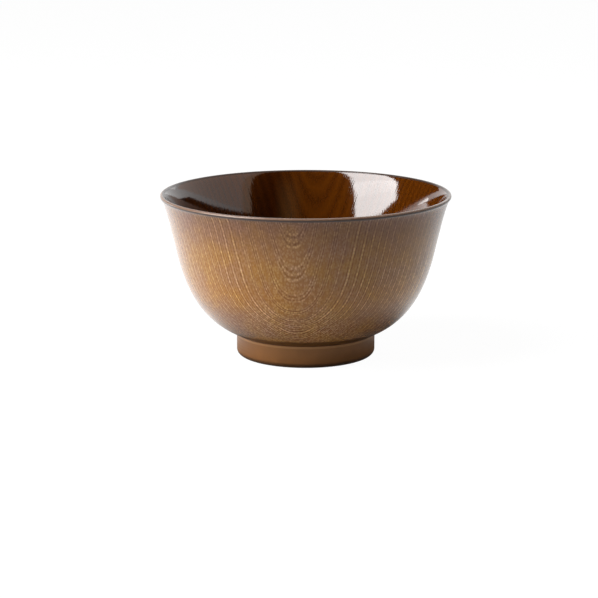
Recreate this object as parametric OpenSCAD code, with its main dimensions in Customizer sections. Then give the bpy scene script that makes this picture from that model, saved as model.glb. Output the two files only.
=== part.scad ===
// Turned soup bowl on a foot ring: a wooden core under five lacquer coats.
// The finished surface is one outline. Every coat is a skin of that outline,
// and the core is the outline set back by the coat's thickness.

/* [Bowl] */
// Diameter across the lip
rim_d = 118; // [108:0.5:130]
// Height from the table to the top of the lip
bowl_h = 66.6; // [62:0.2:76]
// Thickness of the lip, which is fully rounded
lip_t = 1.6; // [1.3:0.1:2.6]
// Slant from upright of the wall where it meets the rounded lip, in degrees
lip_slant = 45; // [30:1:55]

/* [Waist, where the round belly turns into the flared lip] */
// How far the lip stands out beyond the waist
flare_reach = 5.7; // [3:0.05:9]
// Height of the flared part, from the waist to the top of the lip
flare_h = 19.9; // [14:0.1:26]
// Slant from upright of the wall at the waist, in degrees
waist_slant = 13; // [6:1:20]
// Thickness of the wall at the waist
waist_wall = 2.5; // [1.8:0.1:4]

/* [Belly] */
// Slant from upright of the underside where it leaves the foot, in degrees
under_slant = 69; // [62:0.5:78]
// Thickness of the wall where it leaves the foot
under_wall = 4.6; // [3:0.1:7]
// Thickness of the bottom above the hollow of the foot
bottom_t = 5; // [3:0.5:8]

/* [Foot ring] */
// Outside diameter of the foot ring
foot_d = 56.6; // [50:0.2:64]
// Height of the foot ring's outer side
foot_h = 9.4; // [6:0.2:13]
// Width of the foot ring from its outer to its inner corner, at the table
foot_w = 5.8; // [4.6:0.2:8]
// Depth of the hollow inside the foot ring
recess_depth = 6; // [3.4:0.2:9]
// Lean of the hollow's wall from upright, in degrees
recess_draft = 8; // [0:1:15]
// Radius that rounds the foot ring's outer edge at the table
foot_edge_r = 2.2; // [1:0.1:3]
// Radius that rounds the foot ring's inner edge at the table
foot_inner_edge_r = 1.1; // [0.6:0.1:1.6]
// Radius of the small cove between the foot ring and the underside
cove_r = 0.6; // [0.3:0.1:1.5]
// Radius of the cove in the corner of the hollow
recess_cove_r = 1.5; // [0.5:0.1:1.8]

/* [Lacquer] */
// Thickness of each lacquer coat, with the ground that it lies on
coat_t = 0.25; // [0.1:0.05:0.4]
// Height of the dark band that the lip's coat leaves on the outside, below the rounded lip
lip_band_out = 0.1; // [0.1:0.1:4]
// Height of the lip's coat on the inside, below the rounded lip
lip_band_in = 0.4; // [0.2:0.1:4]
// Height above the foot where the grained coat ends and the foot's smooth coat starts
grain_end_rise = 3; // [1.5:0.1:8]

/* [Hidden] */

$fn = 180;

// Steps along each kind of stretch of the outline
floor_steps = 10;
curve_steps = 24;
flare_steps = 16;
foot_band_steps = 5;
lip_band_steps = 2;
lip_steps = 12;
edge_steps = 7;
search_steps = 24;

// How far each curve keeps its end directions, as shares of the distance between its ends
belly_foot_share = 0.454;
belly_waist_share = 0.21;
flare_waist_share = 0.65;
flare_lip_share = 0.09;
floor_middle_share = 0.45;
floor_edge_share = 0.3;

foot_r = foot_d / 2;
recess_r = foot_r - foot_w;
recess_top_r = recess_r - recess_depth * tan(recess_draft);
floor_h = recess_depth + bottom_t;
lip_r = lip_t / 2;
lip_center = [rim_d / 2 - lip_r, bowl_h - lip_r];

// Directions and turns. A slant is measured from upright, outwards on the way up.
function slant(angle) = [sin(angle), cos(angle)];
function unit(v) = v / norm(v);
function left_of(v) = [-v.y, v.x];
function cross_of(a, b) = a.x * b.y - a.y * b.x;

// A curve is four control points. Its ends leave along the given directions.
function curve(start, start_dir, start_share, end, end_dir, end_share) =
    let (span = norm(end - start))
    [start, start + start_dir * span * start_share, end - end_dir * span * end_share, end];
function curve_point(c, t) =
    pow(1 - t, 3) * c[0] + 3 * t * pow(1 - t, 2) * c[1] + 3 * t * t * (1 - t) * c[2] + pow(t, 3) * c[3];
function curve_dir(c, t) =
    unit(pow(1 - t, 2) * (c[1] - c[0]) + 2 * t * (1 - t) * (c[2] - c[1]) + t * t * (c[3] - c[2]));
function curve_points(c, from, to, steps) =
    [for (i = [0 : steps]) curve_point(c, from + (to - from) * i / steps)];

// Place along a rising curve where it reaches a height
function place_at_height(c, h, low = 0, high = 1, left = search_steps) =
    let (middle = (low + high) / 2)
    left == 0 ? middle
    : curve_point(c, middle).y > h ? place_at_height(c, h, low, middle, left - 1)
    : place_at_height(c, h, middle, high, left - 1);

// Arc of radius r that rounds the corner b between a and c
function corner_arc(a, b, c, r, steps) =
    let (
        u = unit(a - b),
        v = unit(c - b),
        half = acos(u * v) / 2,
        center = b + unit(u + v) * r / sin(half),
        start = b + u * r / tan(half) - center,
        turn = (180 - 2 * half) * (cross_of(-u, v) > 0 ? 1 : -1)
    )
    [for (i = [0 : steps]) center + rotated(start, turn * i / steps)];
function rotated(v, angle) = [v.x * cos(angle) - v.y * sin(angle), v.x * sin(angle) + v.y * cos(angle)];

// Points b to e of a list, and a list without its first point
function part_of(points, b, e) = [for (i = [b : e]) points[i]];
function without_first(points) = part_of(points, 1, len(points) - 1);
function reversed(points) = [for (i = [len(points) - 1 : -1 : 0]) points[i]];

// Outside, from the foot to the lip
under_corner = [foot_r, foot_h];
under_setback = cove_r * tan(under_slant / 2);
belly_start = under_corner + slant(under_slant) * under_setback;
waist = [rim_d / 2 - flare_reach, bowl_h - flare_h];
lip_start_out = lip_center - left_of(slant(lip_slant)) * lip_r;
belly_curve = curve(belly_start, slant(under_slant), belly_foot_share,
    waist, slant(waist_slant), belly_waist_share);
flare_out = curve(waist, slant(waist_slant), flare_waist_share,
    lip_start_out, slant(lip_slant), flare_lip_share);

// Inside, from the middle of the floor to the lip. Up the belly it follows the outside,
// while the wall thins gently from the foot to the waist.
function eased(t) = (1 - cos(180 * t)) / 2;
function belly_wall(t) = under_wall + (waist_wall - under_wall) * eased(t);
function inside_belly(t) = curve_point(belly_curve, t) + left_of(curve_dir(belly_curve, t)) * belly_wall(t);
lip_start_in = lip_center + left_of(slant(lip_slant)) * lip_r;
floor_curve = curve([0, floor_h], [1, 0], floor_middle_share,
    inside_belly(0), slant(under_slant), floor_edge_share);
flare_in = curve(inside_belly(1), slant(waist_slant), flare_waist_share,
    lip_start_in, slant(lip_slant), flare_lip_share);

// Where one coat hands over to the next
band_in = place_at_height(flare_in, lip_start_in.y - lip_band_in);
band_out = place_at_height(flare_out, lip_start_out.y - lip_band_out);
grain_end = place_at_height(belly_curve, foot_h + grain_end_rise);

// The finished surface, in the order it is walked: the floor, up the inside,
// over the lip, down the outside, round the foot and into its hollow
inside_run = concat(
    curve_points(floor_curve, 0, 1, floor_steps),
    [for (i = [1 : curve_steps]) inside_belly(i / curve_steps)],
    without_first(curve_points(flare_in, 0, band_in, flare_steps)));
lip_run = concat(
    curve_points(flare_in, band_in, 1, lip_band_steps),
    without_first([for (i = [0 : lip_steps])
        lip_center + rotated(lip_start_in - lip_center, -180 * i / lip_steps)]),
    without_first(reversed(curve_points(flare_out, band_out, 1, lip_band_steps))));
outside_run = concat(
    reversed(curve_points(flare_out, 0, band_out, flare_steps)),
    without_first(reversed(curve_points(belly_curve, grain_end, 1, curve_steps))));
foot_run = concat(
    reversed(curve_points(belly_curve, 0, grain_end, foot_band_steps)),
    without_first(corner_arc(belly_start, under_corner, [foot_r, 0], cove_r, edge_steps)),
    corner_arc(under_corner, [foot_r, 0], [recess_r, 0], foot_edge_r, edge_steps),
    corner_arc([foot_r, 0], [recess_r, 0], [recess_top_r, recess_depth], foot_inner_edge_r, edge_steps));
recess_run = concat(
    part_of(foot_run, len(foot_run) - 1, len(foot_run) - 1),
    corner_arc([recess_r, 0], [recess_top_r, recess_depth], [0, recess_depth], recess_cove_r, edge_steps),
    [[0, recess_depth]]);

surface = concat(inside_run, without_first(lip_run), without_first(outside_run),
    without_first(foot_run), without_first(recess_run));

// Places in the surface where the coats meet
lip_first = len(inside_run) - 1;
outside_first = lip_first + len(lip_run) - 1;
foot_first = outside_first + len(outside_run) - 1;
recess_first = foot_first + len(foot_run) - 1;
surface_last = recess_first + len(recess_run) - 1;

// The wood under the lacquer: the surface set back square to itself
function edge_normal(i) = left_of(unit(surface[i + 1] - surface[i]));
function set_back(i) =
    i == 0 ? [0, surface[i].y - coat_t]
    : i == surface_last ? [0, surface[i].y + coat_t]
    : let (n = unit(edge_normal(i - 1) + edge_normal(i)))
        surface[i] - n * coat_t / (n * edge_normal(i));
wood_surface = [for (i = [0 : surface_last]) set_back(i)];

module coat(b, e) {
    rotate_extrude()
        polygon(concat(part_of(surface, b, e), reversed(part_of(wood_surface, b, e))));
}

// Bowl and foot ring, turned from one block
module wood_core() {
    color("#b98a56")
        rotate_extrude() polygon(wood_surface);
}

// Glossy amber lacquer over the floor and the inside wall
module inner_coat() {
    color("#4a2303") coat(0, lip_first);
}

// Glossy dark lacquer over the rounded lip
module lip_coat() {
    color("#301d12") coat(lip_first, outside_first);
}

// Satin lacquer with pale-filled pores over the outside wall
module outer_coat() {
    color("#9c6e42") coat(outside_first, foot_first);
}

// Smooth satin lacquer over the foot ring, which the bowl stands on
module foot_coat() {
    color("#86592d") coat(foot_first, recess_first);
}

// Dark lacquer in the hollow of the foot
module recess_coat() {
    color("#2c1a10") coat(recess_first, surface_last);
}

wood_core();
inner_coat();
lip_coat();
outer_coat();
foot_coat();
recess_coat();
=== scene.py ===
import math

import bmesh
import bpy
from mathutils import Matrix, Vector


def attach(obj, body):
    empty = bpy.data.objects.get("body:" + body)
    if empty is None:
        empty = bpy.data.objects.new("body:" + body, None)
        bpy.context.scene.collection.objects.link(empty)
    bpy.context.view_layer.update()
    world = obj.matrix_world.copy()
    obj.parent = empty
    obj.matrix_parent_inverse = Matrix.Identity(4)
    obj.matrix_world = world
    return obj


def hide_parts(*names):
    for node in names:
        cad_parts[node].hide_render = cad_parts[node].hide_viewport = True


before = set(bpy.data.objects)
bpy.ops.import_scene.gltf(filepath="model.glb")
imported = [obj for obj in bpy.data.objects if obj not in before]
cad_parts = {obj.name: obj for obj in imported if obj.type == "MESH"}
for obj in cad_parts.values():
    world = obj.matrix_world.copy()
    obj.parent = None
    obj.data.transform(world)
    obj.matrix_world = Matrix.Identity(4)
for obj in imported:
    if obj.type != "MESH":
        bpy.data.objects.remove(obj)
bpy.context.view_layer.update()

mm = 0.001  # every size below is in millimetres, and the scene is in metres


# The bowl's outline

bowl = {
    "rimDiameter": 118.0,
    "height": 66.6,
    "lipThickness": 1.6,
    "lipSlant": 45.0,  # slants are in degrees from upright
    "flareReach": 5.7,
    "flareHeight": 19.9,
    "waistSlant": 13.0,
    "waistWall": 2.5,
    "underSlant": 69.0,
    "underWall": 4.6,
    "bottomThickness": 5.0,
    "footDiameter": 56.6,
    "footHeight": 9.4,
    "footWidth": 5.8,
    "recessDepth": 6.0,
    "recessDraft": 8.0,
    "footEdge": 2.2,
    "footInnerEdge": 1.1,
    "cove": 0.6,
    "recessCove": 1.5,
    "coat": 0.25,
    "lipBandOut": 0.1,
    "lipBandIn": 0.4,
    "grainEndRise": 3.0,
    "turns": 512,  # steps round the axis
}

# How far each curve keeps its end directions, as shares of the distance between its ends
curveShares = {"bellyFoot": 0.454, "bellyWaist": 0.21, "flareWaist": 0.65, "flareLip": 0.09,
               "floorMiddle": 0.45, "floorEdge": 0.3}
# Steps along each stretch, about 1 mm each and finer round the edges
curveSteps = {"floor": 22, "inside": 44, "outside": 50, "flare": 26, "lipBand": 8, "lip": 28,
              "footBand": 20, "edge": 12, "footEdge": 18, "recess": 8}
searchSteps = 30  # halvings that find where a curve reaches a height
onAxis = 1e-6  # mm from the axis, within which a point is on it


def slant(degrees):
    return Vector((math.sin(math.radians(degrees)), math.cos(math.radians(degrees))))


def leftOf(v):
    return Vector((-v.y, v.x))


def rotated(v, degrees):
    c, s = math.cos(math.radians(degrees)), math.sin(math.radians(degrees))
    return Vector((v.x * c - v.y * s, v.x * s + v.y * c))


# A curve is four control points, and its ends leave along the given directions
def makeCurve(start, startDir, startShare, end, endDir, endShare):
    span = (end - start).length
    return [start, start + startDir * span * startShare, end - endDir * span * endShare, end]


def curvePoint(curve, t):
    s = 1 - t
    return curve[0] * s ** 3 + curve[1] * 3 * t * s ** 2 + curve[2] * 3 * t * t * s + curve[3] * t ** 3


def curveDirection(curve, t):
    s = 1 - t
    first, second, third = (end - start for start, end in zip(curve, curve[1:]))
    return (first * s * s + second * 2 * t * s + third * t * t).normalized()


def curvePoints(curve, first, last, steps):
    return [curvePoint(curve, first + (last - first) * i / steps) for i in range(steps + 1)]


def placeAtHeight(curve, height):
    low, high = 0.0, 1.0
    for _ in range(searchSteps):
        middle = (low + high) / 2
        if curvePoint(curve, middle).y > height:
            high = middle
        else:
            low = middle
    return (low + high) / 2


# The arc that rounds a corner
def cornerArc(before, corner, after, radius, steps):
    u, v = (before - corner).normalized(), (after - corner).normalized()
    half = math.acos(max(-1.0, min(1.0, u.dot(v)))) / 2
    center = corner + (u + v).normalized() * radius / math.sin(half)
    start = corner + u * radius / math.tan(half) - center
    turn = (180 - 2 * math.degrees(half)) * (1 if -u.x * v.y + u.y * v.x > 0 else -1)
    return [center + rotated(start, turn * i / steps) for i in range(steps + 1)]


# The finished surface, with a run of points for each coat: the floor and up the inside, over the lip,
# down the outside, round the foot and into its hollow
def bowlOutline(size, share, steps):
    underDir, waistDir, lipDir = (slant(size[key]) for key in ("underSlant", "waistSlant", "lipSlant"))
    footR = size["footDiameter"] / 2
    recessR = footR - size["footWidth"]
    recessTopR = recessR - size["recessDepth"] * math.tan(math.radians(size["recessDraft"]))
    recessTop = Vector((recessTopR, size["recessDepth"]))
    lipR = size["lipThickness"] / 2
    lipCenter = Vector((size["rimDiameter"] / 2 - lipR, size["height"] - lipR))
    lipOut = lipCenter - leftOf(lipDir) * lipR
    lipIn = lipCenter + leftOf(lipDir) * lipR
    underCorner = Vector((footR, size["footHeight"]))
    underSetback = size["cove"] * math.tan(math.radians(size["underSlant"] / 2))
    bellyStart = underCorner + underDir * underSetback
    waist = Vector((size["rimDiameter"] / 2 - size["flareReach"], size["height"] - size["flareHeight"]))
    belly = makeCurve(bellyStart, underDir, share["bellyFoot"], waist, waistDir, share["bellyWaist"])
    flareOut = makeCurve(waist, waistDir, share["flareWaist"], lipOut, lipDir, share["flareLip"])

    # Up the belly the inside follows the outside, while the wall thins gently from the foot to the waist
    def insideBelly(t):
        eased = (1 - math.cos(math.pi * t)) / 2
        wall = size["underWall"] + (size["waistWall"] - size["underWall"]) * eased
        return curvePoint(belly, t) + leftOf(curveDirection(belly, t)) * wall

    floorMiddle = Vector((0, size["recessDepth"] + size["bottomThickness"]))
    floor = makeCurve(floorMiddle, Vector((1, 0)), share["floorMiddle"],
                      insideBelly(0), underDir, share["floorEdge"])
    flareIn = makeCurve(insideBelly(1), waistDir, share["flareWaist"], lipIn, lipDir, share["flareLip"])
    bandIn = placeAtHeight(flareIn, lipIn.y - size["lipBandIn"])
    bandOut = placeAtHeight(flareOut, lipOut.y - size["lipBandOut"])
    grainEnd = placeAtHeight(belly, size["footHeight"] + size["grainEndRise"])
    restOut, restIn = Vector((footR, 0)), Vector((recessR, 0))
    edge = steps["edge"]
    runs = {
        "inner_coat": curvePoints(floor, 0, 1, steps["floor"])
                      + [insideBelly(i / steps["inside"]) for i in range(1, steps["inside"] + 1)]
                      + curvePoints(flareIn, 0, bandIn, steps["flare"])[1:],
        "lip_coat": curvePoints(flareIn, bandIn, 1, steps["lipBand"])
                    + [lipCenter + rotated(lipIn - lipCenter, -180 * i / steps["lip"])
                       for i in range(1, steps["lip"] + 1)]
                    + curvePoints(flareOut, bandOut, 1, steps["lipBand"])[::-1][1:],
        "outer_coat": curvePoints(flareOut, 0, bandOut, steps["flare"])[::-1]
                      + curvePoints(belly, grainEnd, 1, steps["outside"])[::-1][1:],
        "foot_coat": curvePoints(belly, 0, grainEnd, steps["footBand"])[::-1]
                     + cornerArc(bellyStart, underCorner, restOut, size["cove"], edge)[1:]
                     + cornerArc(underCorner, restOut, restIn, size["footEdge"], steps["footEdge"])
                     + cornerArc(restOut, restIn, recessTop, size["footInnerEdge"], edge),
    }
    recessMiddle = Vector((0, size["recessDepth"]))
    recessCove = cornerArc(restIn, recessTop, recessMiddle, size["recessCove"], edge)
    runs["recess_coat"] = ([runs["foot_coat"][-1]] + recessCove
                           + [recessCove[-1].lerp(recessMiddle, i / steps["recess"])
                              for i in range(1, steps["recess"] + 1)])
    return runs


# The wood under the coats: the surface set back square to itself
def setBack(surface, depth):
    normals = [leftOf((end - start).normalized()) for start, end in zip(surface, surface[1:])]
    points = [surface[0] - Vector((0, depth))]
    for i in range(1, len(surface) - 1):
        normal = (normals[i - 1] + normals[i]).normalized()
        points.append(surface[i] - normal * depth / normal.dot(normals[i]))
    return points + [surface[-1] + Vector((0, depth))]


# Turns a skin and the back of it round the axis. The narrow faces at both ends of the skin stay sharp.
def latheCoat(name, skin, back, turns, material, body="root"):
    mesh = bmesh.new()
    loop = skin + back[::-1]
    angles = [2 * math.pi * turn / turns for turn in range(turns)]
    rings = []
    for point in loop:
        radius, height = point.x * mm, point.y * mm
        if point.x < onAxis:
            rings.append([mesh.verts.new((0, 0, height))])
        else:
            rings.append([mesh.verts.new((radius * math.cos(angle), radius * math.sin(angle), height))
                          for angle in angles])
    for i, ring in enumerate(rings):
        following = rings[(i + 1) % len(rings)]
        if len(ring) == 1 and len(following) == 1:
            continue
        sharp = i in (len(skin) - 1, len(loop) - 1)
        for turn in range(turns):
            after = (turn + 1) % turns
            if len(ring) == 1:
                corners = (ring[0], following[after], following[turn])
            elif len(following) == 1:
                corners = (ring[turn], ring[after], following[0])
            else:
                corners = (ring[turn], ring[after], following[after], following[turn])
            face = mesh.faces.new(corners)
            face.smooth = True
            if sharp:
                for edge in face.edges:
                    edge.smooth = False
    bmesh.ops.recalc_face_normals(mesh, faces=mesh.faces)
    data = bpy.data.meshes.new(name)
    mesh.to_mesh(data)
    mesh.free()
    piece = bpy.data.objects.new(name, data)
    bpy.context.scene.collection.objects.link(piece)
    data.materials.append(material)
    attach(piece, body)
    return piece


# Colours and nodes

gentle = {"interpolation_type": "SMOOTHSTEP"}  # for a range that eases in and out
noiseLow, noiseHigh = 0.3, 0.7  # noise mostly lies between these
unchanged = (1.0, 1.0, 1.0)  # a factor that leaves a colour as it is


def linear(hexColour):
    values = [int(hexColour[i:i + 2], 16) / 255 for i in (1, 3, 5)]
    return tuple(v / 12.92 if v <= 0.04045 else ((v + 0.055) / 1.055) ** 2.4 for v in values) + (1.0,)


# Adds one shader node. Each socket takes a value, or the node or output that feeds it. In a Mix, sockets
# 2 and 3 and output 0 are values, 4 and 5 and output 1 vectors, and 6 and 7 and output 2 colours. A
# MapRange maps what lies from 1 to 2 onto what lies from 3 to 4.
def add(tree, kind, sockets=None, **settings):
    made = tree.nodes.new("ShaderNode" + kind)
    for key, value in settings.items():
        setattr(made, key, value)
    for key, value in (sockets or {}).items():
        if isinstance(value, bpy.types.Node):
            value = value.outputs[0]
        if isinstance(value, bpy.types.NodeSocket):
            tree.links.new(value, made.inputs[key])
        else:
            made.inputs[key].default_value = value
    return made


def newMaterial(name):
    material = bpy.data.materials.new(name)
    material.use_nodes = True
    material.node_tree.nodes.clear()
    return material, material.node_tree


# The growth rings, drawn as nested U's: the blank was sawn along the trunk with the bark side out, so
# the flared wall cuts the rings upright and the round belly cuts them across. "reach" counts them
# outwards from the middle of the U's, near one for each degree round the lip.
grain = {
    "turn": -5.04,  # degrees to the viewer's right at which the U's have their tips
    "rimRadius": 60.0,  # mm from the axis, where the wall starts to draw in
    "fall": (0.642, 0.0456, 0.00053),  # reach gained for each mm, mm2 and mm3 that the wall draws in
    "underside": 17.0,  # mm drawn in, beyond which the reach gains evenly
    "undersideFall": 1.2,  # for each mm
    "tipWidth": 7.46,  # degrees over which a tip is rounded
    "power": 1.428,  # 1 would draw V's, and 2 round U's
    "archFrom": 76.0,  # degrees from the tips, where the lines of both halves close in arches
    "archEase": 20.0,
    "ringsPerReach": 0.279,
    "ringStart": -1.547,
    "growthSwing": 0.641,  # slow and fast years
    "growthPeriod": 65.0,
    "growthStart": 16.89,
    "wobble": 0.35,
    "wobbleScale": 0.07,  # to the mm
    "boldReach": 25.0,  # the boldest years, and how far from them boldness ends
    "boldSpan": 15.0,
    "innerReach": (25.0, 18.0),  # where single lines give way to bundles of fine ones
    "outerReach": (25.0, 70.0),  # from near the U's to far from them
    "steepShares": (0.35, 0.65),  # of the reach that comes from the side: on the tips, and on steep sides
}


def growthRings(tree):
    place = add(tree, "TexCoord").outputs["Object"]
    blank = add(tree, "Mapping", {"Vector": place, "Rotation": (0, 0, -math.radians(grain["turn"])),
                                  "Scale": (1 / mm,) * 3})
    parts = add(tree, "SeparateXYZ", {0: blank})
    towards = add(tree, "Math", {0: parts.outputs["Y"], 1: -1.0}, operation="MULTIPLY")
    azimuth = add(tree, "Math", {0: parts.outputs["X"], 1: towards}, operation="ARCTAN2")
    azimuth = add(tree, "Math", {0: azimuth}, operation="DEGREES")
    folded = add(tree, "Math", {0: azimuth, 1: 90.0}, operation="PINGPONG")  # the far side has U's too
    folded = add(tree, "Math", {0: folded, 1: grain["archFrom"], 2: grain["archEase"]},
                 operation="SMOOTH_MIN")
    squared = add(tree, "Math", {0: folded, 1: 2.0}, operation="POWER")
    eased = add(tree, "Math", {0: squared, 1: grain["tipWidth"] ** 2}, operation="ADD")
    eased = add(tree, "Math", {0: eased}, operation="SQRT")
    side = add(tree, "Math", {0: squared, 1: eased}, operation="DIVIDE")
    level = add(tree, "CombineXYZ", {0: parts.outputs["X"], 1: parts.outputs["Y"]})
    radius = add(tree, "VectorMath", {0: level}, operation="LENGTH").outputs["Value"]
    drawnIn = add(tree, "Math", {0: grain["rimRadius"], 1: radius}, operation="SUBTRACT")
    drawnIn = add(tree, "Math", {0: drawnIn, 1: 0.0}, operation="MAXIMUM")
    further = add(tree, "Math", {0: drawnIn, 1: grain["underside"]}, operation="SUBTRACT")
    further = add(tree, "Math", {0: further, 1: 0.0}, operation="MAXIMUM")
    drawnIn = add(tree, "Math", {0: drawnIn, 1: grain["underside"]}, operation="MINIMUM")
    first, second, third = grain["fall"]
    fall = add(tree, "Math", {0: drawnIn, 1: third, 2: second}, operation="MULTIPLY_ADD")
    fall = add(tree, "Math", {0: drawnIn, 1: fall, 2: first}, operation="MULTIPLY_ADD")
    fall = add(tree, "Math", {0: drawnIn, 1: fall}, operation="MULTIPLY")
    fall = add(tree, "Math", {0: further, 1: grain["undersideFall"], 2: fall}, operation="MULTIPLY_ADD")
    sidePart = add(tree, "Math", {0: side, 1: grain["power"]}, operation="POWER")
    fallPart = add(tree, "Math", {0: fall, 1: grain["power"]}, operation="POWER")
    whole = add(tree, "Math", {0: sidePart, 1: fallPart}, operation="ADD")
    steepness = add(tree, "Math", {0: sidePart, 1: whole}, operation="DIVIDE")
    reach = add(tree, "Math", {0: whole, 1: 1 / grain["power"]}, operation="POWER")
    drift = add(tree, "TexNoise", {"Vector": blank, "Scale": grain["wobbleScale"], "Detail": 3.0})
    wobble = add(tree, "Math", {0: drift, 1: 2 * grain["wobble"], 2: -grain["wobble"]},
                 operation="MULTIPLY_ADD")
    reach = add(tree, "Math", {0: reach, 1: wobble}, operation="ADD")
    turn = 2 * math.pi / grain["growthPeriod"]
    swing = add(tree, "Math", {0: reach, 1: turn, 2: turn * grain["growthStart"]}, operation="MULTIPLY_ADD")
    swing = add(tree, "Math", {0: swing}, operation="SINE")
    even = add(tree, "Math", {0: reach, 1: grain["ringsPerReach"], 2: grain["ringStart"]},
               operation="MULTIPLY_ADD")
    years = add(tree, "Math", {0: swing, 1: grain["growthSwing"], 2: even}, operation="MULTIPLY_ADD")
    nearest = add(tree, "Math", {0: years}, operation="ROUND")
    fromBold = add(tree, "Math", {0: reach, 1: grain["boldReach"]}, operation="SUBTRACT")
    fromBold = add(tree, "Math", {0: fromBold}, operation="ABSOLUTE")
    inner, outer, steep = (grain[ends] for ends in ("innerReach", "outerReach", "steepShares"))
    return {
        "blank": blank,
        "across": parts.outputs["X"],
        "up": parts.outputs["Z"],
        "years": years,
        "fromLine": add(tree, "Math", {0: years, 1: 0.5}, operation="PINGPONG"),
        "yearChance": add(tree, "TexWhiteNoise", {"W": nearest}, noise_dimensions="1D").outputs["Value"],
        "bold": add(tree, "MapRange", {0: fromBold, 1: 0.0, 2: grain["boldSpan"], 3: 1.0, 4: 0.0}, **gentle),
        "bundled": add(tree, "MapRange", {0: reach, 1: inner[0], 2: inner[1]}, **gentle),
        "outward": add(tree, "MapRange", {0: reach, 1: outer[0], 2: outer[1]}),
        "steep": add(tree, "MapRange", {0: steepness, 1: steep[0], 2: steep[1]}),
    }


# Open vessels of the early wood. A year starts with a row of them, and inside the U's, where the cut
# runs almost along the rings, a row opens out into several.
pores = {
    "pitch": (0.85, 0.85, 1.3),  # mm across, in depth and along; the real 0.25 mm is too fine to show
    "vessel": (0.62, 0.2),  # from the middle of a cell, where a vessel ends and where it is full
    "lineWidth": (0.15, 0.22),  # half of a line, as a part of its ring, near the U's and far from them
    "lineCore": 0.02,  # the same for the full middle of a line
    "edgeWidth": 0.34,  # and for the dark late wood beside it
    "bundleWidth": 0.36,
    "bundleRows": 5.0,  # rows to a ring inside a bundle, and elsewhere
    "rows": 3.0,
    "rowWidth": (0.4, 0.08),  # half of a row and of its full middle, as parts of the rows' spacing
    "rowTone": (1.1, 0.28),  # how strong they are elsewhere, across the U's and on their steep sides
    "farRows": 0.5,  # what is left of that far from the U's
    "gap": 0.4,  # what is left of a row between two vessels
    "richAcross": (15.0, 48.0),  # mm to the right, over which the pattern grows stronger
    "richUp": (58.0, 36.0),  # mm up, over which it comes to do so
    "richer": 1.2,  # how much stronger it grows
    "lowUp": (34.0, 20.0),  # mm up, over which it grows stronger all round
    "lowRicher": 0.5,
}


def vessels(tree, rings):
    def rowsOf(count):
        rows = add(tree, "Math", {0: rings["years"], 1: count}, operation="MULTIPLY")
        away = add(tree, "Math", {0: rows, 1: 0.5}, operation="PINGPONG")
        return add(tree, "MapRange", {0: away, 1: pores["rowWidth"][0], 2: pores["rowWidth"][1]}, **gentle)

    fromLine = rings["fromLine"]
    near, far = pores["lineWidth"]
    width = add(tree, "Mix", {0: rings["outward"], 2: near, 3: far}).outputs[0]
    single = add(tree, "MapRange", {0: fromLine, 1: width, 2: pores["lineCore"]}, **gentle)
    single = add(tree, "Mix", {0: rings["bundled"], 2: single, 3: 0.0}).outputs[0]
    late = add(tree, "MapRange", {0: fromLine, 1: pores["edgeWidth"], 2: width}, **gentle)
    late = add(tree, "Math", {0: late, 1: single}, operation="SUBTRACT", use_clamp=True)
    bundle = add(tree, "MapRange", {0: fromLine, 1: pores["bundleWidth"], 2: pores["bundleWidth"] / 2},
                 **gentle)
    bundle = add(tree, "Math", {0: bundle, 1: rowsOf(pores["bundleRows"])}, operation="MULTIPLY")
    flat, upright = pores["rowTone"]
    strength = add(tree, "Mix", {0: rings["steep"], 2: flat, 3: upright}).outputs[0]
    fade = add(tree, "MapRange", {0: rings["outward"], 3: 1.0, 4: pores["farRows"]})
    strength = add(tree, "Math", {0: strength, 1: fade}, operation="MULTIPLY")
    weak = add(tree, "Math", {0: rowsOf(pores["rows"]), 1: strength}, operation="MULTIPLY")
    rows = add(tree, "Mix", {0: rings["bundled"], 2: weak, 3: bundle}).outputs[0]
    perCell = tuple(1 / size for size in pores["pitch"])
    cells = add(tree, "Mapping", {"Vector": rings["blank"], "Scale": perCell})
    cells = add(tree, "TexVoronoi", {"Vector": cells, "Scale": 1.0}).outputs["Distance"]
    dots = add(tree, "MapRange", {0: cells, 1: pores["vessel"][0], 2: pores["vessel"][1]}, **gentle)
    beads = add(tree, "MapRange", {0: dots, 3: pores["gap"], 4: 1.0})
    high, across, low = (
        add(tree, "MapRange", {0: rings[way], 1: pores[ends][0], 2: pores[ends][1]}, **gentle)
        for way, ends in (("up", "richUp"), ("across", "richAcross"), ("up", "lowUp")))
    rich = add(tree, "Math", {0: high, 1: across}, operation="MULTIPLY")
    rich = add(tree, "Math", {0: rich, 1: pores["richer"], 2: 1.0}, operation="MULTIPLY_ADD")
    rich = add(tree, "Math", {0: low, 1: pores["lowRicher"], 2: rich}, operation="MULTIPLY_ADD")
    beads = add(tree, "Math", {0: beads, 1: rich}, operation="MULTIPLY")
    return {name: add(tree, "Math", {0: part, 1: factor}, operation="MULTIPLY")
            for name, part, factor in (("single", single, beads), ("late", late, rich),
                                       ("rows", rows, beads), ("dots", dots, rich))}


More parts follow.
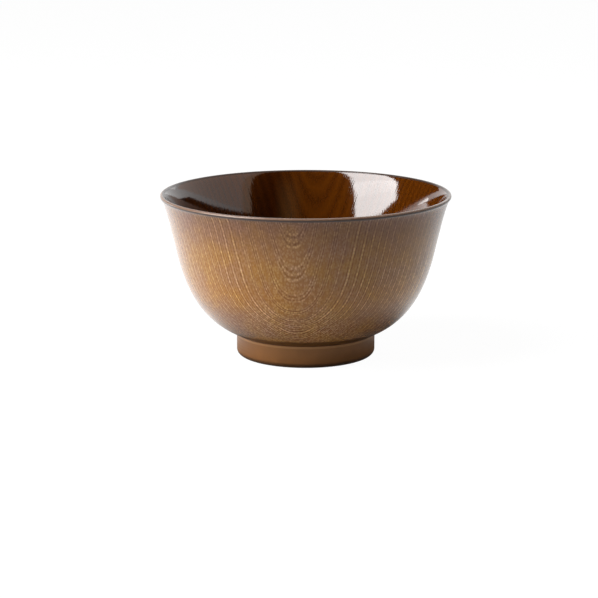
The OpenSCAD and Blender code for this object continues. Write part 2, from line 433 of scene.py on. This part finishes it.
outside = {
    "dark": "#704213",
    "pale": "#cc9e60",
    "filled": "#d5b184",  # what fills the vessels
    "lipDark": "#59341d",
    "lipPale": "#a67e5c",
    "lipFilled": "#b28b6c",
    "shadeAt": (44.0, 64.0),  # mm up, over which the colour turns to the lip's
    # Each belt has the heights between which it comes and those between which it goes, and what it does to
    # the colour: more golden round the middle, and darker towards the underside
    "belts": (((23.0, 30.0), (33.0, 42.0), (1.11, 1.04, 0.82)),
              ((-2.0, -1.0), (22.0, 30.0), (0.87, 0.76, 0.66))),
    "warm": (1.08, 1.03, 0.68),  # patches of more golden and of more purple wood
    "cool": (1.0, 0.96, 1.06),
    "patches": 0.1,  # to the mm
    "patchNoise": (0.35, 0.65),  # the noise that makes a patch fully warm and fully cool
    "fibre": (1.5, 1.5, 0.3),  # streaks to each mm across, in depth and along
    "tone": 0.24,  # how far the plain ground is from dark to pale
    "fibreTone": 0.5,
    "lateTone": -0.15,
    "lineKept": (0.65, 0.95),  # least and most of a line that chance leaves to its year
    "boldKept": 0.3,  # what the boldest years have beyond that
    "lineFill": 0.6,  # how far a line, a row and a lone vessel go from the ground to what fills them
    "rowFill": 0.46,
    "dotFill": (0.22, 0.08),  # the last across the U's and on their steep sides
    "relief": 0.02,  # mm that a filled vessel is sunk
    "roughness": (0.27, 0.35),  # of the ground, and of what is well filled
    "wellFilled": 0.5,
    "ior": 1.25,
    "coatRoughness": 0.25,
    "coatIor": 1.3,
}


# Satin lacquer rubbed over open-grained wood: a soft gleam, and vessels filled pale and slightly sunk.
# Both layers reflect little where they face the eye and much at the edges, which catch the white room.
def satinLacquerOverOpenGrain():
    material, tree = newMaterial("satinLacquerOverOpenGrain")
    rings = growthRings(tree)
    pattern = vessels(tree, rings)
    first, last = outside["shadeAt"]
    shade = add(tree, "MapRange", {0: rings["up"], 1: first, 2: last}, **gentle)
    fibres = add(tree, "Mapping", {"Vector": rings["blank"], "Scale": outside["fibre"]})
    fibres = add(tree, "TexNoise", {"Vector": fibres, "Scale": 1.0, "Detail": 3.0, "Roughness": 0.6})
    patches = add(tree, "TexNoise", {"Vector": rings["blank"], "Scale": outside["patches"], "Detail": 2.0})
    warmest, coolest = outside["patchNoise"]
    patches = add(tree, "MapRange", {0: patches, 1: warmest, 2: coolest})
    least, most = outside["lineKept"]
    keep = add(tree, "MapRange", {0: rings["yearChance"], 3: least, 4: most})
    keep = add(tree, "Math", {0: rings["bold"], 1: outside["boldKept"], 2: keep}, operation="MULTIPLY_ADD",
               use_clamp=True)
    lines = add(tree, "Math", {0: pattern["single"], 1: keep}, operation="MULTIPLY")
    tone = add(tree, "Math", {0: fibres, 1: 0.5}, operation="SUBTRACT")
    tone = add(tree, "Math", {0: tone, 1: outside["fibreTone"], 2: outside["tone"]},
               operation="MULTIPLY_ADD")
    tone = add(tree, "Math", {0: pattern["late"], 1: outside["lateTone"], 2: tone}, operation="MULTIPLY_ADD")
    flat, upright = outside["dotFill"]
    lone = add(tree, "Mix", {0: rings["steep"], 2: flat, 3: upright}).outputs[0]
    fill = add(tree, "Math", {0: pattern["dots"], 1: lone}, operation="MULTIPLY")
    for part, share in ((pattern["rows"], "rowFill"), (lines, "lineFill")):
        fill = add(tree, "Math", {0: part, 1: outside[share], 2: fill}, operation="MULTIPLY_ADD")
    dark, pale, filled = (
        add(tree, "Mix", {0: shade, 6: linear(outside[low]), 7: linear(outside[high])},
            data_type="RGBA").outputs[2]
        for low, high in (("dark", "lipDark"), ("pale", "lipPale"), ("filled", "lipFilled")))
    colour = add(tree, "Mix", {0: tone, 6: dark, 7: pale}, data_type="RGBA")
    colour = add(tree, "Mix", {0: fill, 6: colour.outputs[2], 7: filled}, data_type="RGBA")
    hue = add(tree, "Mix", {0: patches, 4: outside["warm"], 5: outside["cool"]}, data_type="VECTOR")
    colour = add(tree, "VectorMath", {0: colour.outputs[2], 1: hue.outputs[1]}, operation="MULTIPLY")
    for comes, goes, factor in outside["belts"]:
        begun, ended = (add(tree, "MapRange", {0: rings["up"], 1: first, 2: last}, **gentle)
                        for first, last in (comes, goes))
        within = add(tree, "Math", {0: begun, 1: ended}, operation="SUBTRACT")
        belt = add(tree, "Mix", {0: within, 4: unchanged, 5: factor}, data_type="VECTOR")
        colour = add(tree, "VectorMath", {0: colour, 1: belt.outputs[1]}, operation="MULTIPLY")
    ground, full = outside["roughness"]
    rough = add(tree, "MapRange", {0: fill, 1: 0.0, 2: outside["wellFilled"], 3: ground, 4: full})
    relief = add(tree, "Math", {0: fill, 1: -1.0}, operation="MULTIPLY")
    bump = add(tree, "Bump", {"Height": relief, "Distance": outside["relief"] * mm, "Strength": 1.0})
    shader = add(tree, "BsdfPrincipled", {"Base Color": colour, "Roughness": rough, "IOR": outside["ior"],
                                          "Coat Weight": 1.0, "Coat Roughness": outside["coatRoughness"],
                                          "Coat IOR": outside["coatIor"], "Normal": bump,
                                          "Coat Normal": bump})
    add(tree, "OutputMaterial", {0: shader})
    return material


inside = {
    "amber": "#522803",
    "dark": "#3c1a02",
    "ringTone": 1.2,  # how much paler a ring is in its middle
    "tone": (0.35, 1.25),  # rings and fibres together that give the dark and the amber
    "paintedShadeAt": -15.0,  # mm to the viewer's right of the axis, where a streak of painted shade darkens the far wall
    "paintedShadeReach": 14.0,
    "paintedShade": (0.5, 0.42, 0.3),
    "fibre": (2.2, 2.2, 0.1),  # streaks to each mm across, in depth and along
    "relief": 0.008,  # mm
    "sunk": 0.7,  # how far lines and rows are sunk in that
    "roughness": 0.07,
    "ior": 1.5,
    "coat": 0.6,
    "coatRoughness": 0.03,
    "coatIor": 1.5,
}


# Clear lacquer flowed on over wood stained amber: a deep dark glow with near mirror reflections
def clearLacquerOverAmberWood():
    material, tree = newMaterial("clearLacquerOverAmberWood")
    rings = growthRings(tree)
    pattern = vessels(tree, rings)
    fibres = add(tree, "Mapping", {"Vector": rings["blank"], "Scale": inside["fibre"]})
    fibres = add(tree, "TexNoise", {"Vector": fibres, "Scale": 1.0, "Detail": 2.0})
    sheets = add(tree, "Math", {0: rings["fromLine"], 1: inside["ringTone"], 2: fibres},
                 operation="MULTIPLY_ADD")
    tone = add(tree, "MapRange", {0: sheets, 1: inside["tone"][0], 2: inside["tone"][1]})
    colour = add(tree, "Mix", {0: tone, 6: linear(inside["dark"]), 7: linear(inside["amber"])},
                 data_type="RGBA")
    parts = add(tree, "SeparateXYZ", {0: add(tree, "TexCoord").outputs["Object"]})
    # Painted shade: a soft dark streak down the far wall, left of the axis
    away = add(tree, "Math", {0: parts.outputs["X"], 1: inside["paintedShadeAt"] * mm}, operation="SUBTRACT")
    away = add(tree, "Math", {0: away}, operation="ABSOLUTE")
    paintedShade = add(tree, "MapRange", {0: away, 1: inside["paintedShadeReach"] * mm, 2: 0.0}, **gentle)
    far = add(tree, "Math", {0: parts.outputs["Y"], 1: 0.0}, operation="GREATER_THAN")
    paintedShade = add(tree, "Math", {0: paintedShade, 1: far}, operation="MULTIPLY")
    paintedShadeFactor = add(tree, "Mix", {0: paintedShade, 4: unchanged, 5: inside["paintedShade"]}, data_type="VECTOR")
    colour = add(tree, "VectorMath", {0: colour.outputs[2], 1: paintedShadeFactor.outputs[1]}, operation="MULTIPLY")
    relief = fibres
    for part in (pattern["single"], pattern["rows"]):
        relief = add(tree, "Math", {0: part, 1: -inside["sunk"], 2: relief}, operation="MULTIPLY_ADD")
    bump = add(tree, "Bump", {"Height": relief, "Distance": inside["relief"] * mm, "Strength": 1.0})
    shader = add(tree, "BsdfPrincipled", {"Base Color": colour, "Roughness": inside["roughness"],
                                          "IOR": inside["ior"], "Coat Weight": inside["coat"],
                                          "Coat Roughness": inside["coatRoughness"],
                                          "Coat IOR": inside["coatIor"], "Normal": bump,
                                          "Coat Normal": bump})
    add(tree, "OutputMaterial", {0: shader})
    return material


# The lip is rubbed back to the wood's brown outside and on top. Elsewhere it is dark: dark lacquer on the
# inside, and below the crest a dark filler line that is partly painted shade under the lip's bulge
lip = {
    # dark lacquer inside the lip; below the crest it is partly dark filler and partly painted shade
    "dark": "#301c0f",
    "rubbed": "#7a5f4e",
    "rubbedAbove": 65.95,  # mm
    "rubbedBeyond": 58.15,  # mm from the axis
    "fade": 0.15,
    "wear": 0.9,  # to the mm
    "leastWear": 0.8,  # how much is rubbed off where the wear is weakest
    "wearDepth": 0.01,  # mm
    "roughness": (0.35, 0.45),  # where the wear is weakest and strongest
    "ior": 1.3,
    "coat": 0.8,
    "coatRoughness": 0.15,
    "coatIor": 1.4,
}


# Dark lacquer rubbed through by use to a dull brown crest, with a thin dark line under it that is partly
# painted shade
def rubbedLacquer():
    material, tree = newMaterial("rubbedLacquer")
    place = add(tree, "TexCoord").outputs["Object"]
    up = add(tree, "SeparateXYZ", {0: place}).outputs["Z"]
    level = add(tree, "VectorMath", {0: place, 1: (1.0, 1.0, 0.0)}, operation="MULTIPLY")
    radius = add(tree, "VectorMath", {0: level}, operation="LENGTH").outputs["Value"]
    high, beyond = (
        add(tree, "MapRange", {0: value, 1: (edge - lip["fade"]) * mm, 2: (edge + lip["fade"]) * mm},
            **gentle)
        for value, edge in ((up, lip["rubbedAbove"]), (radius, lip["rubbedBeyond"])))
    worn = add(tree, "TexNoise", {"Vector": place, "Scale": lip["wear"] / mm, "Detail": 2.0})
    worn = add(tree, "MapRange", {0: worn, 1: noiseLow, 2: noiseHigh, 3: lip["leastWear"], 4: 1.0})
    rubbed = add(tree, "Math", {0: high, 1: beyond}, operation="MULTIPLY")
    rubbed = add(tree, "Math", {0: rubbed, 1: worn}, operation="MULTIPLY")
    colour = add(tree, "Mix", {0: rubbed, 6: linear(lip["dark"]), 7: linear(lip["rubbed"])},
                 data_type="RGBA")
    weakest, strongest = lip["roughness"]
    rough = add(tree, "MapRange", {0: worn, 1: lip["leastWear"], 2: 1.0, 3: weakest, 4: strongest})
    bump = add(tree, "Bump", {"Height": worn, "Distance": lip["wearDepth"] * mm, "Strength": 1.0})
    shader = add(tree, "BsdfPrincipled", {"Base Color": colour.outputs[2], "Roughness": rough,
                                          "IOR": lip["ior"], "Coat Weight": lip["coat"],
                                          "Coat Roughness": lip["coatRoughness"], "Coat IOR": lip["coatIor"],
                                          "Normal": bump})
    add(tree, "OutputMaterial", {0: shader})
    return material


# What the smooth finishes share: faint clouds, and the marks of the tool that turned the wood
smooth = {
    "clouds": 0.09,  # to the mm
    "marks": (0.04, 0.04, 1.5),  # to the mm across, in depth and up
    "markRelief": 0.004,  # mm
    "markRoughness": 0.15,  # the share by which they vary the roughness
    "ior": 1.5,
}

# Satin brown lacquer wiped over the turned foot: even and soft, with a warm gleam. Its colour changes at
# some heights, each with its fade in mm: painted shadow dark at the table, a painted highlight as a light
# line along the top, and painted shade dark again in the cove.
foot = {
    # the colour at the table, below the first band: painted shadow
    "colour": "#50331a",
    "shade": "#452b14",  # in the darkest clouds
    "roughness": 0.38,
    "specular": 1.0,
    "gleam": (1.0, 0.65, 0.42, 1.0),  # the tint of what it reflects
    # the wall above the painted shadow, a painted highlight along the top edge, and painted shade in the
    # cove
    "bands": ((1.9, 0.7, "#764a20"), (bowl["footHeight"] - 1.2, 0.2, "#9a6c40"),
              (bowl["footHeight"] - 0.35, 0.25, "#5a3814")),
}

# Satin dark lacquer brushed into the hollow of the foot, which nothing rubs: near black and even
recess = {"colour": "#2c1a10", "shade": "#22140c", "roughness": 0.3}

# Turned bare wood: pale and dull. The coats hide it.
bareWood = {"colour": "#b98a56", "shade": "#a87a48", "roughness": 0.6}


def smoothFinish(name, colour, shade, roughness, specular=0.5, gleam=(1.0, 1.0, 1.0, 1.0), bands=()):
    material, tree = newMaterial(name)
    place = add(tree, "TexCoord").outputs["Object"]
    clouds = add(tree, "TexNoise", {"Vector": place, "Scale": smooth["clouds"] / mm, "Detail": 3.0})
    marks = add(tree, "Mapping", {"Vector": place, "Scale": tuple(count / mm for count in smooth["marks"])})
    marks = add(tree, "TexNoise", {"Vector": marks, "Scale": 1.0, "Detail": 2.0})
    thinned = add(tree, "MapRange", {0: clouds, 1: noiseLow, 2: noiseHigh})
    darkest = tuple(low / high for low, high in zip(linear(shade), linear(colour)))
    cloudy = add(tree, "Mix", {0: thinned, 6: darkest, 7: unchanged + (1.0,)}, data_type="RGBA")
    tint = linear(colour)
    up = add(tree, "SeparateXYZ", {0: place}).outputs["Z"]
    # bands of colour by height; on the foot they carry painted shadow, highlight and shade
    for height, fade, other in bands:
        over = add(tree, "MapRange", {0: up, 1: (height - fade) * mm, 2: (height + fade) * mm}, **gentle)
        tint = add(tree, "Mix", {0: over, 6: tint, 7: linear(other)}, data_type="RGBA").outputs[2]
    tint = add(tree, "Mix", {0: 1.0, 6: tint, 7: cloudy.outputs[2]}, data_type="RGBA",
               blend_type="MULTIPLY")
    least, most = (roughness * (1 + way * smooth["markRoughness"]) for way in (-1, 1))
    rough = add(tree, "MapRange", {0: marks, 1: noiseLow, 2: noiseHigh, 3: least, 4: most})
    bump = add(tree, "Bump", {"Height": marks, "Distance": smooth["markRelief"] * mm, "Strength": 1.0})
    shader = add(tree, "BsdfPrincipled", {"Base Color": tint.outputs[2], "Roughness": rough,
                                          "IOR": smooth["ior"], "Specular IOR Level": specular,
                                          "Specular Tint": gleam, "Normal": bump})
    add(tree, "OutputMaterial", {0: shader})
    return material


outline = bowlOutline(bowl, curveShares, curveSteps)
surface, marks = [], {}
for name in ("inner_coat", "lip_coat", "outer_coat", "foot_coat", "recess_coat"):
    run = outline[name]
    first = max(0, len(surface) - 1)
    surface += run[1:] if surface else run
    marks[name] = (first, len(surface) - 1)
wood = setBack(surface, bowl["coat"])
print("outline worked out:", len(surface), "points")

looks = {
    "inner_coat": clearLacquerOverAmberWood(),
    "lip_coat": rubbedLacquer(),
    "outer_coat": satinLacquerOverOpenGrain(),
    "foot_coat": smoothFinish("satinBrownLacquer", **foot),
    "recess_coat": smoothFinish("satinDarkLacquer", **recess),
}
for name, (first, last) in marks.items():
    skin, back = surface[first:last + 1], wood[first:last + 1]
    piece = latheCoat(name.replace("_", ".", 1), skin, back, bowl["turns"], looks[name])
    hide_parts(name)
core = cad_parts["wood_core"]
core.data.materials.clear()
core.data.materials.append(smoothFinish("turnedBareWood", **bareWood))
print("coats turned:", ", ".join(marks))


# Floor, lamps, world and camera

studio = {
    "middle": 40.0,  # height that the lamps face
    "lampDistance": 1100.0,
    # Each lamp has its edges in degrees left of the viewer's side, its heights in degrees above level,
    # and its radiance
    "lamps": {"window": ((44.0, 97.5), (13.5, 66.0), 9.3),
              "brightPane": ((44.0, 97.5), (23.0, 36.0), 5.4),
              "lowPane": ((120.0, 136.0), (1.0, 10.0), 4.0),
              "sideFill": ((-115.0, -75.0), (8.0, 66.0), 2.2),  # these two light without a reflection
              "frontFill": ((10.0, 44.0), (0.0, 30.0), 0.7)},
    "unseenLamps": ("sideFill", "frontFill"),
    "cardDistance": 1600.0,
    # Each card has its edges, its lower edge, its upper edge at both ends, and what it reflects
    "cards": {"frontCard": ((-53.5, 46.0), 0.0, (88.0, 88.0), (0.0, 0.0, 0.0)),
              "leftCard": ((94.0, 150.0), 11.0, (88.0, 88.0), (0.0, 0.0, 0.0)),
              "rightCard": ((-125.0, -53.5), 0.0, (12.2, 15.5), (0.0, 0.0, 0.0)),
              "backCard": ((-160.0, -125.0), 0.0, (2.0, 12.2), (0.0, 0.0, 0.0)),
              "paleCard": ((-172.0, -145.0), 14.0, (28.0, 28.0), (1.6, 1.6, 1.6)),
              "warmCard": ((-140.0, -62.0), 16.0, (70.0, 70.0), (0.95, 0.8, 0.73)),
              "warmEdge": ((-62.0, -53.5), 15.0, (70.0, 70.0), (0.85, 0.65, 0.5))},
    "nearDistance": 1000.0,  # before the window, whose lower corners these cut
    "nearCards": {"cornerCard": ((74.0, 98.0), 0.0, (13.0, 18.5), (0.0, 0.0, 0.0)),
                  "sideCard": ((92.0, 99.5), 0.0, (20.0, 60.0), (0.0, 0.0, 0.0)),
                  "edgeCard": ((42.0, 49.5), 0.0, (60.0, 13.0), (0.0, 0.0, 0.0))},
    "dimDistance": 1500.0,
    "dimCard": ((-30.0, 0.0), 5.0, (55.0, 55.0), (0.26, 0.17, 0.07)),
    "dimSideShares": (0.0, 0.5),  # of its width and its height, where the dim card is gone and full
    "dimTopShares": (1.0, 0.2),
    "cardSteps": 24,  # along a card and up it
    "cardAlbedo": 0.01,
    "ambient": 0.07,  # what the white room adds to the light on the bowl
    "floorRadius": 2600.0,
    "floorSides": 96,
    "footShadow": (31.0, 66.0),  # mm over which the table's reflection fades in, as measured from a place
    "shadowShift": 8.0,  # this far to the right of the axis, away from the window
    "underFoot": 0.05,  # what is left of the reflection within the shadow
    "tableSheen": (150.0, 1.38, 0.78),  # its light in glossy surfaces, this many mm left and right
    "tableAlbedo": 0.42,
    "seenAlbedo": 0.06,  # weak enough that the table stays white and keeps a faint shadow
    "seenGlow": 0.97,
}


def toward(azimuth, elevation, distance):
    a, e = math.radians(azimuth), math.radians(elevation)
    reach = distance * mm * math.cos(e)
    height = studio["middle"] * mm + distance * mm * math.sin(e)
    return Vector((-math.sin(a) * reach, -math.cos(a) * reach, height))


def uprightLamp(name, edges, heights, radiance, distance):
    left, right = edges
    low, high = (distance * mm * math.tan(math.radians(height)) for height in heights)
    lamp = bpy.data.lights.new(name, "AREA")
    lamp.shape = "RECTANGLE"
    lamp.size = 2 * distance * mm * math.tan(math.radians((right - left) / 2))
    lamp.size_y = high - low
    lamp.energy = radiance * math.pi * lamp.size * lamp.size_y
    placed = bpy.data.objects.new(name, lamp)
    bpy.context.scene.collection.objects.link(placed)
    placed.location = toward((left + right) / 2, 0, distance)
    placed.location.z += (low + high) / 2
    placed.rotation_euler = (math.pi / 2, 0, -math.radians((left + right) / 2))
    placed.visible_camera = False
    return placed


def plainObject(name, mesh, material):
    data = bpy.data.meshes.new(name)
    mesh.to_mesh(data)
    mesh.free()
    data.materials.append(material)
    thing = bpy.data.objects.new(name, data)
    bpy.context.scene.collection.objects.link(thing)
    return thing


# 1 for a ray by which the camera sees something, straight or in a glossy or clear surface
def sightOf(tree, inGloss=1.0):
    path = add(tree, "LightPath")
    gloss = add(tree, "Math", {0: path.outputs["Is Glossy Ray"], 1: inGloss}, operation="MULTIPLY")
    sight = add(tree, "Math", {0: path.outputs["Is Camera Ray"], 1: gloss}, operation="MAXIMUM")
    return add(tree, "Math", {0: sight, 1: path.outputs["Is Transmission Ray"]}, operation="MAXIMUM")


# A tall curved card round the set. It shows in glossy surfaces only, and keeps the room's light off them.
def showCard(name, card, distance, soft=False):
    (first, last), low, (firstTop, lastTop), glow = card
    steps = studio["cardSteps"]
    shares = [i / steps for i in range(steps + 1)]
    mesh = bmesh.new()
    rows = []
    for up in shares:
        row = []
        for along in shares:
            top = firstTop + (lastTop - firstTop) * along
            place = toward(first + (last - first) * along, low + (top - low) * up, distance)
            row.append(mesh.verts.new(place))
        rows.append(row)
    for lower, upper in zip(rows, rows[1:]):
        for i in range(steps):
            mesh.faces.new((lower[i], lower[i + 1], upper[i + 1], upper[i]))
    cloth, tree = newMaterial(name + "Cloth")
    matte = add(tree, "BsdfDiffuse", {"Color": (studio["cardAlbedo"],) * 3 + (1.0,)})
    strength = sightOf(tree)
    if soft:  # fades to its sides and to its top
        parts = add(tree, "SeparateXYZ", {0: add(tree, "TexCoord").outputs["Generated"]})
        side = add(tree, "Math", {0: parts.outputs["X"], 1: 0.5}, operation="PINGPONG")
        for part, ends in ((side, "dimSideShares"), (parts.outputs["Z"], "dimTopShares")):
            fade = add(tree, "MapRange", {0: part, 1: studio[ends][0], 2: studio[ends][1]}, **gentle)
            strength = add(tree, "Math", {0: strength, 1: fade}, operation="MULTIPLY")
    shine = add(tree, "Emission", {"Color": glow + (1.0,), "Strength": strength})
    add(tree, "OutputMaterial", {0: add(tree, "AddShader", {0: matte, 1: shine})})
    plainObject(name, mesh, cloth).visible_camera = False


# Matte white paint rolled on the table: bright and even to the camera, with a faint shadow round the foot.
# In the bowl's gloss it is darker where the bowl keeps the light off it, and brighter on the window's side.
def matteWhitePaint():
    material, tree = newMaterial("matteWhitePaint")
    place = add(tree, "TexCoord").outputs["Object"]
    shifted = add(tree, "VectorMath", {0: place, 1: (studio["shadowShift"] * mm, 0, 0)},
                  operation="SUBTRACT")
    fromAxis = add(tree, "VectorMath", {0: shifted}, operation="LENGTH").outputs["Value"]
    near, clear = studio["footShadow"]
    openness = add(tree, "MapRange", {0: fromAxis, 1: near * mm, 2: clear * mm,
                                      3: studio["underFoot"], 4: 1.0}, **gentle)
    sideways = add(tree, "SeparateXYZ", {0: place}).outputs["X"]
    away, left, right = studio["tableSheen"]
    sheen = add(tree, "MapRange", {0: sideways, 1: -away * mm, 2: away * mm, 3: left, 4: right})
    sheen = add(tree, "Math", {0: sheen, 1: openness}, operation="MULTIPLY")
    glow = add(tree, "Math", {0: sightOf(tree, sheen), 1: studio["seenGlow"]}, operation="MULTIPLY")
    paint = add(tree, "MapRange", {0: sightOf(tree), 3: studio["tableAlbedo"], 4: studio["seenAlbedo"]})
    matte = add(tree, "BsdfDiffuse", {"Color": paint})
    light = add(tree, "Emission", {"Strength": glow})
    add(tree, "OutputMaterial", {0: add(tree, "AddShader", {0: matte, 1: light})})
    return material


for name, (edges, heights, radiance) in studio["lamps"].items():
    lamp = uprightLamp(name, edges, heights, radiance, studio["lampDistance"])
    lamp.visible_glossy = name not in studio["unseenLamps"]
for name, card in studio["cards"].items():
    showCard(name, card, studio["cardDistance"])
for name, card in studio["nearCards"].items():
    showCard(name, card, studio["nearDistance"])
showCard("dimCard", studio["dimCard"], studio["dimDistance"], soft=True)

floorMesh = bmesh.new()
bmesh.ops.create_circle(floorMesh, cap_ends=True, segments=studio["floorSides"],
                        radius=studio["floorRadius"] * mm)
plainObject("table", floorMesh, matteWhitePaint())

world = bpy.data.worlds.new("studio")
bpy.context.scene.world = world
world.use_nodes = True
tree = world.node_tree
tree.nodes.clear()
glow = add(tree, "MapRange", {0: sightOf(tree), 3: studio["ambient"], 4: 1.0})
add(tree, "OutputWorld", {0: add(tree, "Background", {0: (1, 1, 1, 1), 1: glow})})
print("studio lit")

camera = {
    "distance": 853.79,  # from the bowl's axis, level
    "height": 212.99,
    "pitch": 12.583,  # degrees down
    "focalPixels": 2133.1,
    "imageWidth": 598,
    "axisPixel": 305.74,  # where the bowl's axis crosses the picture
    "sensorWidth": 36.0,
    "clip": (10.0, 50000.0),
}
lens = bpy.data.cameras.new("camera")
lens.sensor_width = camera["sensorWidth"]
lens.lens = lens.sensor_width * camera["focalPixels"] / camera["imageWidth"]
lens.shift_x = -(camera["axisPixel"] - camera["imageWidth"] / 2) / camera["imageWidth"]
lens.clip_start, lens.clip_end = (distance * mm for distance in camera["clip"])
viewer = bpy.data.objects.new("camera", lens)
bpy.context.scene.collection.objects.link(viewer)
viewer.location = (0, -camera["distance"] * mm, camera["height"] * mm)
viewer.rotation_euler = (math.radians(90 - camera["pitch"]), 0, 0)
bpy.context.scene.camera = viewer
bpy.context.scene.view_settings.view_transform = "Standard"
